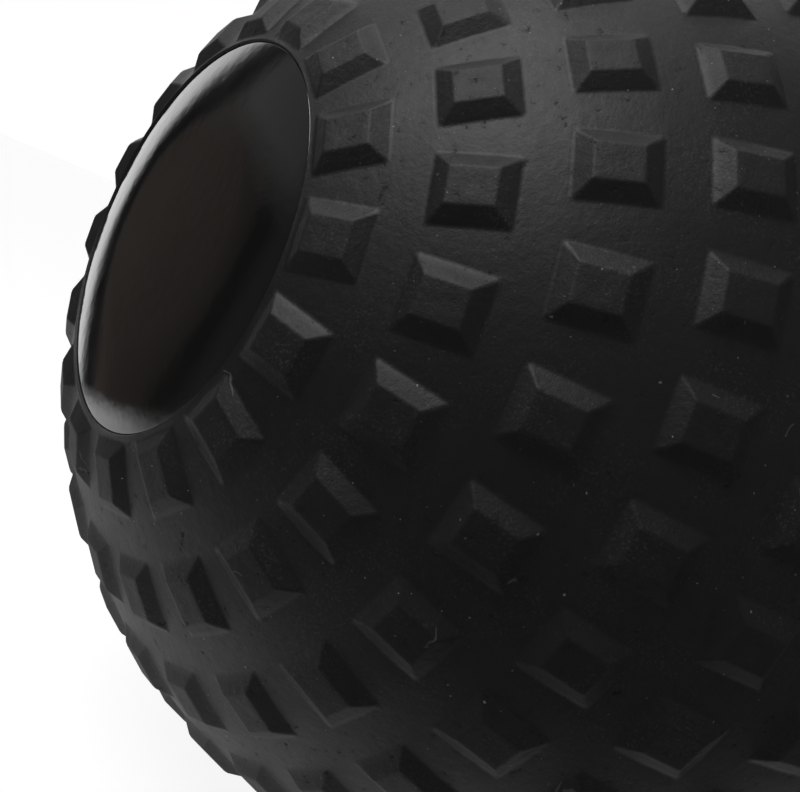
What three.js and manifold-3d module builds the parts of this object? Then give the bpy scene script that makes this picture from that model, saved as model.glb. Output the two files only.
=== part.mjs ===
// Slam ball: a sand-filled exercise ball with a moulded block tread and a smooth round panel at each pole.
// Millimetres, +Z up, origin at the ball's centre. The poles lie on the Y axis and the front panel faces -Y.
import * as THREE from "three";
import { mergeVertices } from "three/addons/utils/BufferGeometryUtils.js";
import ManifoldModule from "manifold-3d";

const wasm = await ManifoldModule();
wasm.setup();

// Driving dimensions
const LAND_RADIUS = 113;            // ball surface between the tread blocks
const SHELL_WALL = 12;              // rubber wall under the tread
const BLOCK_HEIGHT = 2;             // tread blocks stand this far above the land
const BLOCK_LENGTH = 14.6;          // block foot along the meridian
const BLOCK_WIDTH = 13;             // block foot along the ring, at its middle
const BLOCK_BEVEL = 3;              // run of the sloping block walls, seen from above
const TREAD_RINGS = [               // from the panel to the equator
  { blocks: 16, turnDeg: -10.1 },   // turnDeg says where the ring's first block sits
  { blocks: 22, turnDeg: 7.2 },
  { blocks: 25, turnDeg: 13.9 },
  { blocks: 29, turnDeg: 16.9 },
  { blocks: 32, turnDeg: 11.3 },
  { blocks: 33, turnDeg: 4 },
];
const PARTING_CHAMFER = 0.8;        // groove along the bonded joint at the equator

const PANEL_RADIUS = 41.2;          // rim of the smooth panel
const PANEL_SHOULDER = 18;          // width of the rounded shoulder round the flat face
const PANEL_STAND = 1.8;            // panel face above the edge of its seat
const PANEL_EDGE_DROP = 0.4;        // panel rim below the edge of its seat
const PANEL_MARGIN = 1;             // bare land between the seat and the first ring of blocks
const SEAT_CHAMFER = 0.4;           // lead-in at the edge of the seat
const LEDGE_WIDTH = 10;             // ledge that the panel's flange is bonded to
const LEDGE_THICKNESS = 3;          // rubber under the ledge at the fill opening

const BLADDER_WALL = 2.5;
const SAND_LEVEL = 49;              // height of the settled sand above the ball's centre

const VALVE_FLANGE_RADIUS = 8;
const VALVE_FLANGE_THICKNESS = 1.8;
const VALVE_STEM_RADIUS = 5;
const VALVE_BORE_RADIUS = 2;
const VALVE_REACH = 3;              // stem end past the bladder's inner face
const PLUG_HEAD_RADIUS = 4;
const PLUG_HEAD_THICKNESS = 1;
const PLUG_PIN_LENGTH = 7;

const CLEARANCE = 0.3;              // between pieces that touch or nest
const SAND_POCKET = 1;              // sand pushed back round the valve stem

// Facets: nested spheres share the same steps, so that their gaps stay even
const SEGMENTS = 36;
const ARC_STEP_DEG = 10;
const SHORTEST_STEP_DEG = 1;
const SMALL_SEGMENTS = 24;
const SHOULDER_STEPS = 6;

// Sizes that follow from the ones above
const shellInner = LAND_RADIUS - SHELL_WALL;
const bladderOuter = shellInner - CLEARANCE;
const bladderInner = bladderOuter - BLADDER_WALL;
const sandRadius = bladderInner - CLEARANCE;
const seatRadius = PANEL_RADIUS + CLEARANCE;
const seatMouth = seatRadius + SEAT_CHAMFER;
const seatEdge = heightOnSphere(LAND_RADIUS, seatMouth);
const fillOpening = seatRadius - LEDGE_WIDTH;
const seatLedge = heightOnSphere(shellInner, fillOpening) + LEDGE_THICKNESS;
const panelFace = seatEdge + PANEL_STAND;
const panelEdge = seatEdge - PANEL_EDGE_DROP;
const panelFlat = PANEL_RADIUS - PANEL_SHOULDER;
const panelUnderside = seatLedge + CLEARANCE;
const spigotRadius = fillOpening - CLEARANCE;
const landLength = LAND_RADIUS * Math.acos(seatMouth / LAND_RADIUS);
const ringPitch = (landLength - PANEL_MARGIN - BLOCK_LENGTH / 2) / (TREAD_RINGS.length - 0.5);
const partingHeight = CLEARANCE / 2;
const stemHole = VALVE_STEM_RADIUS + CLEARANCE;
const valveFlangeFloor = panelFace - VALVE_FLANGE_THICKNESS;
const valveEnd = bladderInner - VALVE_REACH;
const plugSeat = panelFace - PLUG_HEAD_THICKNESS - CLEARANCE;

function heightOnSphere(sphereRadius, distanceFromAxis) {
  return Math.sqrt(sphereRadius ** 2 - distanceFromAxis ** 2);
}

// Profiles are lists of [distance from the axis, height along the pole].

// Points of an arc about the ball's centre, between two distances from the pole, on the shared angular steps
function sphereArc(sphereRadius, fromDeg, toDeg) {
  const downwards = toDeg > fromDeg;
  const low = Math.min(fromDeg, toDeg);
  const high = Math.max(fromDeg, toDeg);
  const angles = [low];
  for (let i = Math.ceil(low / ARC_STEP_DEG); i * ARC_STEP_DEG < high; i++) {
    if (i * ARC_STEP_DEG - low > SHORTEST_STEP_DEG) angles.push(i * ARC_STEP_DEG);
  }
  if (high - angles.at(-1) < SHORTEST_STEP_DEG && angles.length > 1) angles.pop();
  angles.push(high);
  if (!downwards) angles.reverse();
  return angles.map((deg) => {
    const angle = THREE.MathUtils.degToRad(deg);
    return [sphereRadius * Math.sin(angle), sphereRadius * Math.cos(angle)];
  });
}

// Angle from the pole at which a sphere has the given distance from the axis
function poleAngle(sphereRadius, distanceFromAxis) {
  return THREE.MathUtils.radToDeg(Math.asin(distanceFromAxis / sphereRadius));
}

function revolve(profile, segments) {
  return new THREE.LatheGeometry(profile.map(([r, h]) => new THREE.Vector2(r, h)), segments);
}

// Collects shared vertices and triangles of one closed surface whose pole is +Y
class Surface {
  positions = [];
  triangles = [];

  vertex(distance, height, angle) {
    this.positions.push(distance * Math.cos(angle), height, -distance * Math.sin(angle));
    return { index: this.positions.length / 3 - 1, angle };
  }

  onSphere(radius, fromPole, angle) {
    return this.vertex(radius * Math.sin(fromPole), radius * Math.cos(fromPole), angle);
  }

  circle(distance, height) {
    return Array.from({ length: SEGMENTS }, (_, i) => this.vertex(distance, height, (2 * Math.PI * i) / SEGMENTS));
  }

  quad(a, b, c, d) {
    this.triangles.push(a.index, b.index, c.index, a.index, c.index, d.index);
  }

  // Joins two closed circles of vertices, which may differ in count, by a strip of triangles
  bridge(upper, lower) {
    const a = sortedByAngle(upper);
    const b = sortedByAngle(lower);
    const angleAt = (list, i) => list[i % list.length].angle + 2 * Math.PI * Math.floor(i / list.length);
    let i = 0;
    let j = 0;
    while (i < a.length || j < b.length) {
      const upperNext = (angleAt(a, i) + angleAt(a, i + 1)) / 2;
      const lowerNext = (angleAt(b, j) + angleAt(b, j + 1)) / 2;
      const here = a[i % a.length].index;
      const below = b[j % b.length].index;
      if (j >= b.length || (i < a.length && upperNext < lowerNext)) {
        this.triangles.push(here, below, a[(i + 1) % a.length].index);
        i++;
      } else {
        this.triangles.push(here, below, b[(j + 1) % b.length].index);
        j++;
      }
    }
  }

  geometry() {
    const geometry = new THREE.BufferGeometry();
    geometry.setAttribute("position", new THREE.Float32BufferAttribute(this.positions, 3));
    geometry.setIndex(this.triangles);
    geometry.computeVertexNormals();
    return geometry;
  }
}

// The same vertices with their angles brought into one turn and put in order
function sortedByAngle(vertices) {
  const turn = 2 * Math.PI;
  return vertices
    .map(({ index, angle }) => ({ index, angle: ((angle % turn) + turn) % turn }))
    .sort((p, q) => p.angle - q.angle);
}

// One ring of tread blocks: returns its circle of vertices nearest the pole and the one nearest the equator
function addBlockRing(surface, ring) {
  const { blocks: count, turnDeg } = TREAD_RINGS[ring];
  const ringsToEquator = TREAD_RINGS.length - ring - 0.5;
  const middle = Math.PI / 2 - (ringsToEquator * ringPitch) / LAND_RADIUS;
  const ringRadius = LAND_RADIUS * Math.sin(middle);
  const topRadius = LAND_RADIUS + BLOCK_HEIGHT;
  const footLength = BLOCK_LENGTH / 2 / LAND_RADIUS;
  const footWidth = BLOCK_WIDTH / 2 / ringRadius;
  const topLength = (BLOCK_LENGTH / 2 - BLOCK_BEVEL) / LAND_RADIUS;
  const topWidth = (BLOCK_WIDTH / 2 - BLOCK_BEVEL) / ringRadius;
  const blocks = [];
  for (let k = 0; k < count; k++) {
    const angle = THREE.MathUtils.degToRad(turnDeg) + (2 * Math.PI * k) / count;
    const corner = (radius, length, width) => surface.onSphere(radius, middle + length, angle + width);
    blocks.push({
      foot: [
        corner(LAND_RADIUS, -footLength, -footWidth),
        corner(LAND_RADIUS, -footLength, footWidth),
        corner(LAND_RADIUS, footLength, footWidth),
        corner(LAND_RADIUS, footLength, -footWidth),
      ],
      top: [
        corner(topRadius, -topLength, -topWidth),
        corner(topRadius, -topLength, topWidth),
        corner(topRadius, topLength, topWidth),
        corner(topRadius, topLength, -topWidth),
      ],
    });
  }
  blocks.forEach(({ foot, top }, k) => {
    const next = blocks[(k + 1) % count].foot;
    surface.quad(top[0], top[3], top[2], top[1]);
    for (let side = 0; side < 4; side++) {
      const end = (side + 1) % 4;
      surface.quad(foot[side], top[side], top[end], foot[end]);
    }
    surface.quad(foot[1], foot[2], next[3], next[0]);
  });
  return {
    upper: blocks.flatMap(({ foot }) => [foot[0], foot[1]]),
    lower: blocks.flatMap(({ foot }) => [foot[3], foot[2]]),
  };
}

// Half of the outer shell: tread outside, plain sphere inside, stepped seat for the panel at the pole
function halfShell() {
  const surface = new Surface();
  const circleAt = ([distance, height]) => surface.circle(distance, height);
  const seatRim = circleAt([seatMouth, seatEdge]);
  let last = seatRim;
  for (let ring = 0; ring < TREAD_RINGS.length; ring++) {
    const { upper, lower } = addBlockRing(surface, ring);
    surface.bridge(last, upper);
    last = lower;
  }
  const chamferTop = partingHeight + PARTING_CHAMFER;
  const lipAngle = poleAngle(shellInner, fillOpening);
  const partingAngle = poleAngle(shellInner, heightOnSphere(shellInner, partingHeight));
  const innerWall = [
    [heightOnSphere(LAND_RADIUS, chamferTop), chamferTop],
    [LAND_RADIUS - PARTING_CHAMFER, partingHeight],
    ...sphereArc(shellInner, partingAngle, lipAngle),
    [fillOpening, seatLedge],
    [seatRadius, seatLedge],
    [seatRadius, seatEdge - SEAT_CHAMFER],
  ];
  for (const point of innerWall) {
    const circle = circleAt(point);
    surface.bridge(last, circle);
    last = circle;
  }
  surface.bridge(last, seatRim);
  return surface.geometry();
}

// Outer profile of a panel, from its underside at the bore to the middle of its face
function panelProfile(boreRadius) {
  const drop = panelFace - panelEdge;
  const sweep = 2 * Math.atan(drop / PANEL_SHOULDER);
  const bend = PANEL_SHOULDER / Math.sin(sweep);
  const shoulder = Array.from({ length: SHOULDER_STEPS + 1 }, (_, i) => {
    const angle = sweep * (1 - i / SHOULDER_STEPS);
    return [panelFlat + bend * Math.sin(angle), panelFace - bend * (1 - Math.cos(angle))];
  });
  return [
    ...sphereArc(shellInner, poleAngle(shellInner, boreRadius), poleAngle(shellInner, spigotRadius)),
    [spigotRadius, panelUnderside],
    [PANEL_RADIUS, panelUnderside],
    ...shoulder,
  ];
}

function plainPanel() {
  return revolve([...panelProfile(0), [0, panelFace]], SEGMENTS);
}

// The rear panel has a stepped hole for the valve
function valvePanel() {
  const flangeHole = VALVE_FLANGE_RADIUS + CLEARANCE;
  const flangeSeat = valveFlangeFloor - CLEARANCE;
  const profile = panelProfile(stemHole);
  const hole = [
    [flangeHole, panelFace],
    [flangeHole, flangeSeat],
    [stemHole, flangeSeat],
  ];
  return revolve([...profile, ...hole, profile[0]], SEGMENTS);
}

// Liner that keeps the sand in, open at the rear pole for the valve stem
function bladder() {
  const outer = sphereArc(bladderOuter, 180, poleAngle(bladderOuter, stemHole));
  const inner = sphereArc(bladderInner, poleAngle(bladderInner, stemHole), 180);
  return revolve([...outer, ...inner], SEGMENTS);
}

function valveBody() {
  const headHole = PLUG_HEAD_RADIUS + CLEARANCE;
  return revolve([
    [VALVE_BORE_RADIUS, valveEnd],
    [VALVE_STEM_RADIUS, valveEnd],
    [VALVE_STEM_RADIUS, valveFlangeFloor],
    [VALVE_FLANGE_RADIUS, valveFlangeFloor],
    [VALVE_FLANGE_RADIUS, panelFace],
    [headHole, panelFace],
    [headHole, plugSeat],
    [VALVE_BORE_RADIUS, plugSeat],
    [VALVE_BORE_RADIUS, valveEnd],
  ], SMALL_SEGMENTS);
}

function valvePlug() {
  const headFloor = plugSeat + CLEARANCE;
  const pinRadius = VALVE_BORE_RADIUS - CLEARANCE;
  return revolve([
    [0, headFloor - PLUG_PIN_LENGTH],
    [pinRadius, headFloor - PLUG_PIN_LENGTH],
    [pinRadius, headFloor],
    [PLUG_HEAD_RADIUS, headFloor],
    [PLUG_HEAD_RADIUS, panelFace],
    [0, panelFace],
  ], SMALL_SEGMENTS);
}

function toSolid(geometry) {
  const bare = geometry.clone();
  bare.deleteAttribute("normal");
  bare.deleteAttribute("uv");
  const merged = mergeVertices(bare);
  return new wasm.Manifold(new wasm.Mesh({
    numProp: 3,
    vertProperties: merged.attributes.position.array,
    triVerts: new Uint32Array(merged.index.array),
  }));
}

function toGeometry(solid) {
  const { vertProperties, triVerts } = solid.getMesh();
  const geometry = new THREE.BufferGeometry();
  geometry.setAttribute("position", new THREE.BufferAttribute(vertProperties, 3));
  geometry.setIndex(new THREE.BufferAttribute(triVerts, 1));
  geometry.computeVertexNormals();
  return geometry;
}

// Loose sand at rest: fills the bladder up to a level top and leaves a pocket round the valve stem
function settledSand() {
  const ball = toSolid(revolve(sphereArc(sandRadius, 180, 0), SEGMENTS));
  const air = new THREE.BoxGeometry(2 * LAND_RADIUS, 2 * LAND_RADIUS, LAND_RADIUS);
  air.translate(0, 0, SAND_LEVEL + LAND_RADIUS / 2);
  const pocketDepth = sandRadius - valveEnd + SAND_POCKET;
  const pocketRadius = VALVE_STEM_RADIUS + SAND_POCKET;
  const pocket = new THREE.CylinderGeometry(pocketRadius, pocketRadius, 2 * pocketDepth, SMALL_SEGMENTS);
  pocket.translate(0, sandRadius, 0);
  return toGeometry(ball.subtract(toSolid(air)).subtract(toSolid(pocket)));
}

const treadRubber = { color: 0x232323, roughness: 0.72, metalness: 0 };
const panelRubber = { color: 0x0f0f10, roughness: 0.22, metalness: 0 };
const linerRubber = { color: 0x3b3029, roughness: 0.6, metalness: 0 };
const drySand = { color: 0xbfa578, roughness: 0.95, metalness: 0 };
const valveRubber = { color: 0x1a1a1a, roughness: 0.5, metalness: 0 };

function piece(name, geometry, finish) {
  const mesh = new THREE.Mesh(geometry, new THREE.MeshStandardMaterial(finish));
  mesh.name = name;
  return mesh;
}

const rearHalf = new THREE.Group();
rearHalf.add(
  piece("rear_shell", halfShell(), treadRubber),
  piece("rear_panel", valvePanel(), panelRubber),
  piece("valve_body", valveBody(), valveRubber),
  piece("valve_plug", valvePlug(), valveRubber),
);

const frontHalf = new THREE.Group();
frontHalf.add(
  piece("front_shell", halfShell(), treadRubber),
  piece("front_panel", plainPanel(), panelRubber),
);
frontHalf.rotation.x = Math.PI;

const core = new THREE.Group();
core.add(
  piece("inner_bladder", bladder(), linerRubber),
  piece("sand_fill", settledSand(), drySand),
);

const slamBall = new THREE.Group();
slamBall.name = "slam_ball";
slamBall.add(frontHalf, rearHalf, core);

export default slamBall;
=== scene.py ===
"""Slam ball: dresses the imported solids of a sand-filled ball. An add-on that is run as a script."""
import math
from contextlib import contextmanager
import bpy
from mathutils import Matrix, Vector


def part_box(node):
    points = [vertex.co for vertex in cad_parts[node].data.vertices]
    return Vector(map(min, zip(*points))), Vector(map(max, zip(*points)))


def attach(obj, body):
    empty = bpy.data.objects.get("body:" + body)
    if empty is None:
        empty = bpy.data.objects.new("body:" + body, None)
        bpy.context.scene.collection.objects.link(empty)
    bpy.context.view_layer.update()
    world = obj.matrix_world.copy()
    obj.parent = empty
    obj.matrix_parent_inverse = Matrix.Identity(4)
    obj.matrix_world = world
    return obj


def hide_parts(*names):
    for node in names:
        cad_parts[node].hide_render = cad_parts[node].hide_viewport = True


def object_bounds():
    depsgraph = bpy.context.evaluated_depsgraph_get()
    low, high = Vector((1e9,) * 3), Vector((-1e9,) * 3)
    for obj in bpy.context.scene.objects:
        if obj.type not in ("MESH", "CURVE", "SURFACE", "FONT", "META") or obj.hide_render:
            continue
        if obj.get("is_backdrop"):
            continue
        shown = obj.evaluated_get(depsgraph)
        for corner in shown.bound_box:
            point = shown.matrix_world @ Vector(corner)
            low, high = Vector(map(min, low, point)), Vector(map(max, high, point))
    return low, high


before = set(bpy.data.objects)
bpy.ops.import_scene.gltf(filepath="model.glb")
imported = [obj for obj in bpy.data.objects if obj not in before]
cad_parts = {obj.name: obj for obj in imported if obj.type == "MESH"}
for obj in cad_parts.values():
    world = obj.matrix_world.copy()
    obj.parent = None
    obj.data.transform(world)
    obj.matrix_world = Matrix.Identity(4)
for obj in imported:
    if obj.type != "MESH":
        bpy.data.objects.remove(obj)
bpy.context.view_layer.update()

from types import SimpleNamespace

import bmesh
import bpy
from mathutils import Quaternion, Vector

bl_info = {
    "name": "Slam ball",
    "version": (1, 0, 0),
    "blender": (4, 5, 0),
    "location": "View3D > Sidebar > Slam ball",
    "description": "Builds a sand-filled slam ball with a block tread and a glossy panel at each pole",
    "category": "Object",
}

MM = 0.001
WELD = 0.005 * MM

# Tread rings from the panel to the equator: how many blocks, and where the first one sits in degrees
TREAD_RINGS = [(16, -10.1), (22, 7.2), (25, 13.9), (29, 16.9), (32, 11.3), (33, 4)]

# Facets
CORNER_STEPS = 2        # round each corner of a block's foot, an even number
SIDE_STEPS = 2          # along each side of a block's foot
BLOCK_ROUND_STEPS = 1   # across a block's rounded edge or its fillet
SINK_STEPS = 2          # from the edge to the middle of a block's top
LAND_CUTS = 1           # across the land round a block
STRIP_CUTS = 1          # across the land between two rings
ROUND_STEPS = 3         # across a rounded edge of a panel or the valve
TURN_STEPS = 128        # round a turned piece
SMALL_TURN_STEPS = 64   # round the valve
SHELL_STEPS = 24        # from the equator to the fill opening, inside a shell
SPHERE_STEPS = 48       # from pole to pole of the liner and the sand
SHOULDER_STEPS = 16     # across a panel's shoulder and its underside
RIPPLE_RINGS = 12       # across the top of the sand

# Edges that turn by more than these angles are rounded, or shaded as sharp
ROUNDED_ANGLE = math.radians(50)
SHARP_ANGLE = math.radians(40)

# The photograph's frame
IMAGE_WIDTH = 800
IMAGE_HEIGHT = 792
LENS_AXIS_PIXEL = (400, 260)
BALL_CENTRE_PIXEL = (541.8, 382.3)
FOCAL_LENGTH_PIXELS = 1206
SENSOR_WIDTH_MM = 36

# What mirrors see round the stage: bearings in degrees from -X towards -Y, and colours
ROOM_WALL = [
    (-180, "#747474"), (-125, "#747474"),   # a grey wall to the camera's right
    (-105, "#4e4e4e"), (-85, "#4e4e4e"),
    (-80, "#ffffff"), (9, "#ffffff"),       # the white wall behind the ball
    (14.5, "#232222"), (19.5, "#1c1b1b"),   # a dark gap at its end
]
ROOM_BELOW = ROOM_WALL + [
    (22.5, "#504a46"), (27, "#443e3b"), (36, "#423d3a"),    # a brown area
    (40, "#2b2b2a"), (45, "#2e2e2e"),                       # a dark opening
    (52, "#484848"), (70, "#484848"), (140, "#3e3e3e"), (160, "#747474"),
]
ROOM_ABOVE = ROOM_WALL + [
    (24, "#686868"), (44, "#707070"), (60, "#464646"), (140, "#3e3e3e"), (160, "#747474"),
]
# A height in the room is the rise of the line of sight, as a share of its length
ROOM_LEAN = 0.28        # how far the room's uprights lean, in radians of bearing for a height of 1
LINTEL = (0.04, 0.16)   # heights between which the lower room gives way to the upper


def length(name, millimetres, description):
    return bpy.props.FloatProperty(
        name=name, description=description, default=millimetres * MM, unit="LENGTH", precision=5)


def linear(hex_colour):
    """The linear RGBA of an sRGB hex colour"""
    channels = [int(hex_colour[i:i + 2], 16) / 255 for i in (1, 3, 5)]
    return [c / 12.92 if c <= 0.04045 else ((c + 0.055) / 1.055) ** 2.4 for c in channels] + [1.0]


def colour(name, hex_colour, description):
    return bpy.props.FloatVectorProperty(
        name=name, description=description, default=linear(hex_colour), size=4, min=0, max=1,
        subtype="COLOR")


class BallSizes(bpy.types.PropertyGroup):
    """Sizes of the ball"""
    land_radius: length("Land radius", 113, "Ball surface between the tread blocks")
    shell_wall: length("Shell wall", 12, "Rubber wall under the tread")
    block_height: length("Block height", 2, "How far the tread blocks stand above the land")
    block_length: length("Block length", 14.6, "Foot of a block along the meridian")
    block_width: length("Block width", 13, "Foot of a block along its ring")
    block_bevel: length("Block bevel", 3, "Run of a block's sloping walls, seen from above")
    block_corner: length("Block corner", 0.8, "Rounding of a block's upright corners at the foot")
    block_edge: length("Block edge", 0.4, "Rounding round a block's top")
    block_sink: length("Block sink", 0.14, "How far a block's top has sunk in the middle")
    block_fillet: length("Block fillet", 0.3, "Fillet where a block meets the land")
    fillet_room: length("Fillet room", 0.65, "Land round a block's foot that its fillet is cut from")
    side_margin: length("Side margin", 0.9, "Land modelled with each block, towards panel and equator")
    panel_margin: length("Panel margin", 1, "Bare land between the panel's seat and the first ring")
    parting_chamfer: length("Parting chamfer", 0.8, "Groove along the joint at the equator")
    panel_shoulder: length("Panel shoulder", 18, "Width of the rounded shoulder round a panel's face")
    panel_stand: length("Panel stand", 1.8, "Panel face above the edge of its seat")
    panel_edge_drop: length("Panel edge drop", 0.4, "Panel rim below the edge of its seat")
    seat_chamfer: length("Seat chamfer", 0.4, "Lead-in at the edge of the panel's seat")
    ledge_width: length("Ledge width", 10, "Ledge that the panel's flange is bonded to")
    ledge_thickness: length("Ledge thickness", 3, "Rubber under the ledge at the fill opening")
    bladder_wall: length("Bladder wall", 2.5, "Wall of the liner that holds the sand")
    sand_level: length("Sand level", 49, "Height of the settled sand above the ball's centre")
    sand_ripple: length("Sand ripple", 1.2, "How deep the ripples on the sand are")
    ripple_spacing: length("Ripple spacing", 18, "About from one ripple on the sand to the next")
    sand_pocket: length("Sand pocket", 1, "Room that the valve's stem keeps free in the sand")
    valve_flange_radius: length("Valve flange radius", 8, "Flange that sits flush in the rear panel")
    valve_flange_depth: length("Valve flange depth", 1.8, "Thickness of the valve's flange")
    valve_stem_radius: length("Valve stem radius", 5, "Stem that goes through the panel and the liner")
    valve_bore_radius: length("Valve bore radius", 2, "The valve's air hole")
    valve_reach: length("Valve reach", 3, "How far the stem stands into the liner")
    plug_head_radius: length("Plug head radius", 4, "Head of the plug that closes the valve")
    plug_head_depth: length("Plug head depth", 1, "Thickness of the plug's head")
    plug_pin_length: length("Plug pin length", 7, "Pin of the plug, in the air hole")
    bond_line: length("Bond line", 0.05, "Gap that is left between pieces that are bonded together")
    soft_edge: length("Soft edge", 0.25, "Rounding of the moulded edges of panels and valve")
    clearance: length("Clearance", 0.3, "Gap between pieces that touch or nest")


class BallFinish(bpy.types.PropertyGroup):
    """Colours of the ball's materials"""
    tread: colour("Tread", "#151516", "Matte moulded rubber")
    tread_pale: colour("Tread, pale", "#1f1f20", "Rubber where the bloom is thicker")
    # Darker than the tread: painted shade at the bottom of a pit in the tread, laid over the dust film
    # there
    pit: colour("Pit", "#0b0b0b", "Bottom of a pit in the tread")
    dust: colour("Dust", "#8e8c88", "Specks of dust on the rubber")
    panel: colour("Panel", "#0c0c0d", "Gloss moulded rubber")
    valve: colour("Valve", "#191919", "Satin moulded rubber")
    liner: colour("Liner", "#3b3029", "Natural rubber liner")
    sand: colour("Sand", "#bfa578", "Dry sand")
    sand_dark: colour("Sand, dark grains", "#7a6242", "Darker grains in the sand")


class Studio(bpy.types.PropertyGroup):
    """Stage, light and camera"""
    floor: colour("Floor", "#949494", "Floor as the ball sees it; the camera sees it white")
    camera_azimuth: bpy.props.FloatProperty(
        name="Camera azimuth", description="Turn about the upright axis, from the front towards +X",
        default=math.radians(47.21), subtype="ANGLE")
    camera_elevation: bpy.props.FloatProperty(
        name="Camera elevation", description="How far the lens stands above the ball's centre, as an angle",
        default=math.radians(1.94), subtype="ANGLE")
    camera_roll: bpy.props.FloatProperty(
        name="Camera roll", description="Turn about the line to the ball's centre",
        default=math.radians(24.36), subtype="ANGLE")
    camera_distance: length("Camera distance", 302.7, "From the lens to the ball's centre")
    camera_near: length("Camera near", 10, "Nothing closer to the lens than this is drawn")
    key_power: bpy.props.FloatProperty(
        name="Key light", description="Power of the softbox over the ball", default=3.55, unit="POWER")
    key_forward: bpy.props.FloatProperty(
        name="Key forward", description="Tilt of the softbox from overhead towards the camera",
        default=math.radians(23), subtype="ANGLE")
    key_left: bpy.props.FloatProperty(
        name="Key left", description="Tilt of the softbox from overhead to the camera's left",
        default=math.radians(12), subtype="ANGLE")
    key_distance: length("Key distance", 800, "From the ball's centre to the softbox")
    key_size: length("Key size", 500, "Side of the softbox")
    surround: bpy.props.FloatProperty(
        name="Surround", description="Dim light from the room round the stage", default=0.09, min=0)
    floor_size: length("Floor size", 8000, "Side of the floor")
    floor_reach: length("Floor reach", 274, "How far from the ball mirrors see the floor")
    sheet_radius: length("Sheet radius", 325, "Round white sheet on the floor")
    sheet_offset: length("Sheet offset", 230, "From the ball to the middle of the sheet")
    sheet_bearing: bpy.props.FloatProperty(
        name="Sheet bearing", description="Where the middle of the sheet lies, from +X towards +Y",
        default=math.radians(150), subtype="ANGLE")
    sheet_glow: bpy.props.FloatProperty(
        name="Sheet glow", description="How bright mirrors see the sheet", default=0.55, min=0, max=1)


def layout(sizes):
    """Places that follow from the ball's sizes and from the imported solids"""
    land = sizes.land_radius
    panel_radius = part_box("front_panel")[1].x
    seat_radius = panel_radius + sizes.clearance
    seat_mouth = seat_radius + sizes.seat_chamfer
    seat_edge = height_on_sphere(land, seat_mouth)
    shell_inner = land - sizes.shell_wall
    fill_opening = seat_radius - sizes.ledge_width
    seat_ledge = height_on_sphere(shell_inner, fill_opening) + sizes.ledge_thickness
    land_length = land * math.acos(seat_mouth / land)
    # From the equator to the middle of the first ring. The last ring lies half a step from the equator.
    ring_span = land_length - sizes.panel_margin - sizes.block_length / 2
    bladder_outer = shell_inner - sizes.clearance
    bladder_inner = bladder_outer - sizes.bladder_wall
    panel_face = seat_edge + sizes.panel_stand
    return SimpleNamespace(
        shell_inner=shell_inner,
        seat_radius=seat_radius,
        seat_mouth=seat_mouth,
        seat_edge=seat_edge,
        seat_ledge=seat_ledge,
        fill_opening=fill_opening,
        ring_angle=ring_span / (len(TREAD_RINGS) - 0.5) / land,
        parting_height=sizes.bond_line / 2,
        panel_rim=seat_radius - sizes.bond_line,
        panel_face=panel_face,
        panel_flat=panel_radius - sizes.panel_shoulder,
        panel_edge=seat_edge - sizes.panel_edge_drop,
        panel_underside=seat_ledge + sizes.clearance,
        spigot_radius=fill_opening - sizes.clearance,
        bladder_outer=bladder_outer,
        bladder_inner=bladder_inner,
        sand_radius=bladder_inner - sizes.clearance,
        stem_hole=sizes.valve_stem_radius + sizes.clearance,
        flange_floor=panel_face - sizes.valve_flange_depth,
        valve_end=bladder_inner - sizes.valve_reach,
        plug_seat=panel_face - sizes.plug_head_depth - sizes.clearance,
    )


def height_on_sphere(radius, distance_from_axis):
    return math.sqrt(radius ** 2 - distance_from_axis ** 2)


def sphere_arc(radius, start, end, steps):
    """Points of (distance from the axis, height) between two angles from the pole"""
    angles = [start + (end - start) * i / steps for i in range(steps + 1)]
    return [(radius * math.sin(a), radius * math.cos(a)) for a in angles]


# Modelling helpers. Every turned or treaded piece is modelled with its pole up and stood up afterwards.

def activate(piece):
    bpy.ops.object.select_all(action="DESELECT")
    piece.select_set(True)
    bpy.context.view_layer.objects.active = piece


@contextmanager
def editing(piece):
    activate(piece)
    bpy.ops.object.mode_set(mode="EDIT")
    bpy.ops.mesh.select_mode(type="VERT")
    yield
    bpy.ops.object.mode_set(mode="OBJECT")


def pick(kind, test):
    """In edit mode, selects just the vertices, edges or faces that pass the test"""
    bpy.ops.mesh.select_mode(type=kind)
    bpy.ops.mesh.select_all(action="DESELECT")
    mesh = bmesh.from_edit_mesh(bpy.context.object.data)
    elements = {"VERT": mesh.verts, "EDGE": mesh.edges, "FACE": mesh.faces}[kind]
    for element in elements:
        if test(element):
            element.select_set(True)
    mesh.select_flush_mode()
    bmesh.update_edit_mesh(bpy.context.object.data)


def new_plane(name, size, height):
    bpy.ops.object.select_all(action="DESELECT")
    bpy.ops.mesh.primitive_plane_add(size=size, location=(0, 0, height), calc_uvs=False)
    piece = bpy.context.object
    piece.name = name
    bpy.ops.object.transform_apply(location=True)
    return piece


def turned(name, profile, steps=TURN_STEPS):
    """A profile of (distance from the axis, height) pairs, spun a full turn about the pole"""
    piece = new_plane(name, 1, 0)
    with editing(piece):
        bpy.ops.mesh.merge(type="CENTER")
        bpy.ops.transform.translate(value=(profile[0][0], 0, profile[0][1]))
        for (distance, height), (next_distance, next_height) in zip(profile, profile[1:]):
            step = (next_distance - distance, 0, next_height - height)
            bpy.ops.mesh.extrude_vertices_move(TRANSFORM_OT_translate={"value": step})
        bpy.ops.mesh.select_all(action="SELECT")
        bpy.ops.mesh.spin(steps=steps, angle=math.tau, center=(0, 0, 0), axis=(0, 0, 1))
        weld()
    return piece


def weld():
    bpy.ops.mesh.select_all(action="SELECT")
    bpy.ops.mesh.remove_doubles(threshold=WELD)
    bpy.ops.mesh.normals_make_consistent(inside=False)


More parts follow.
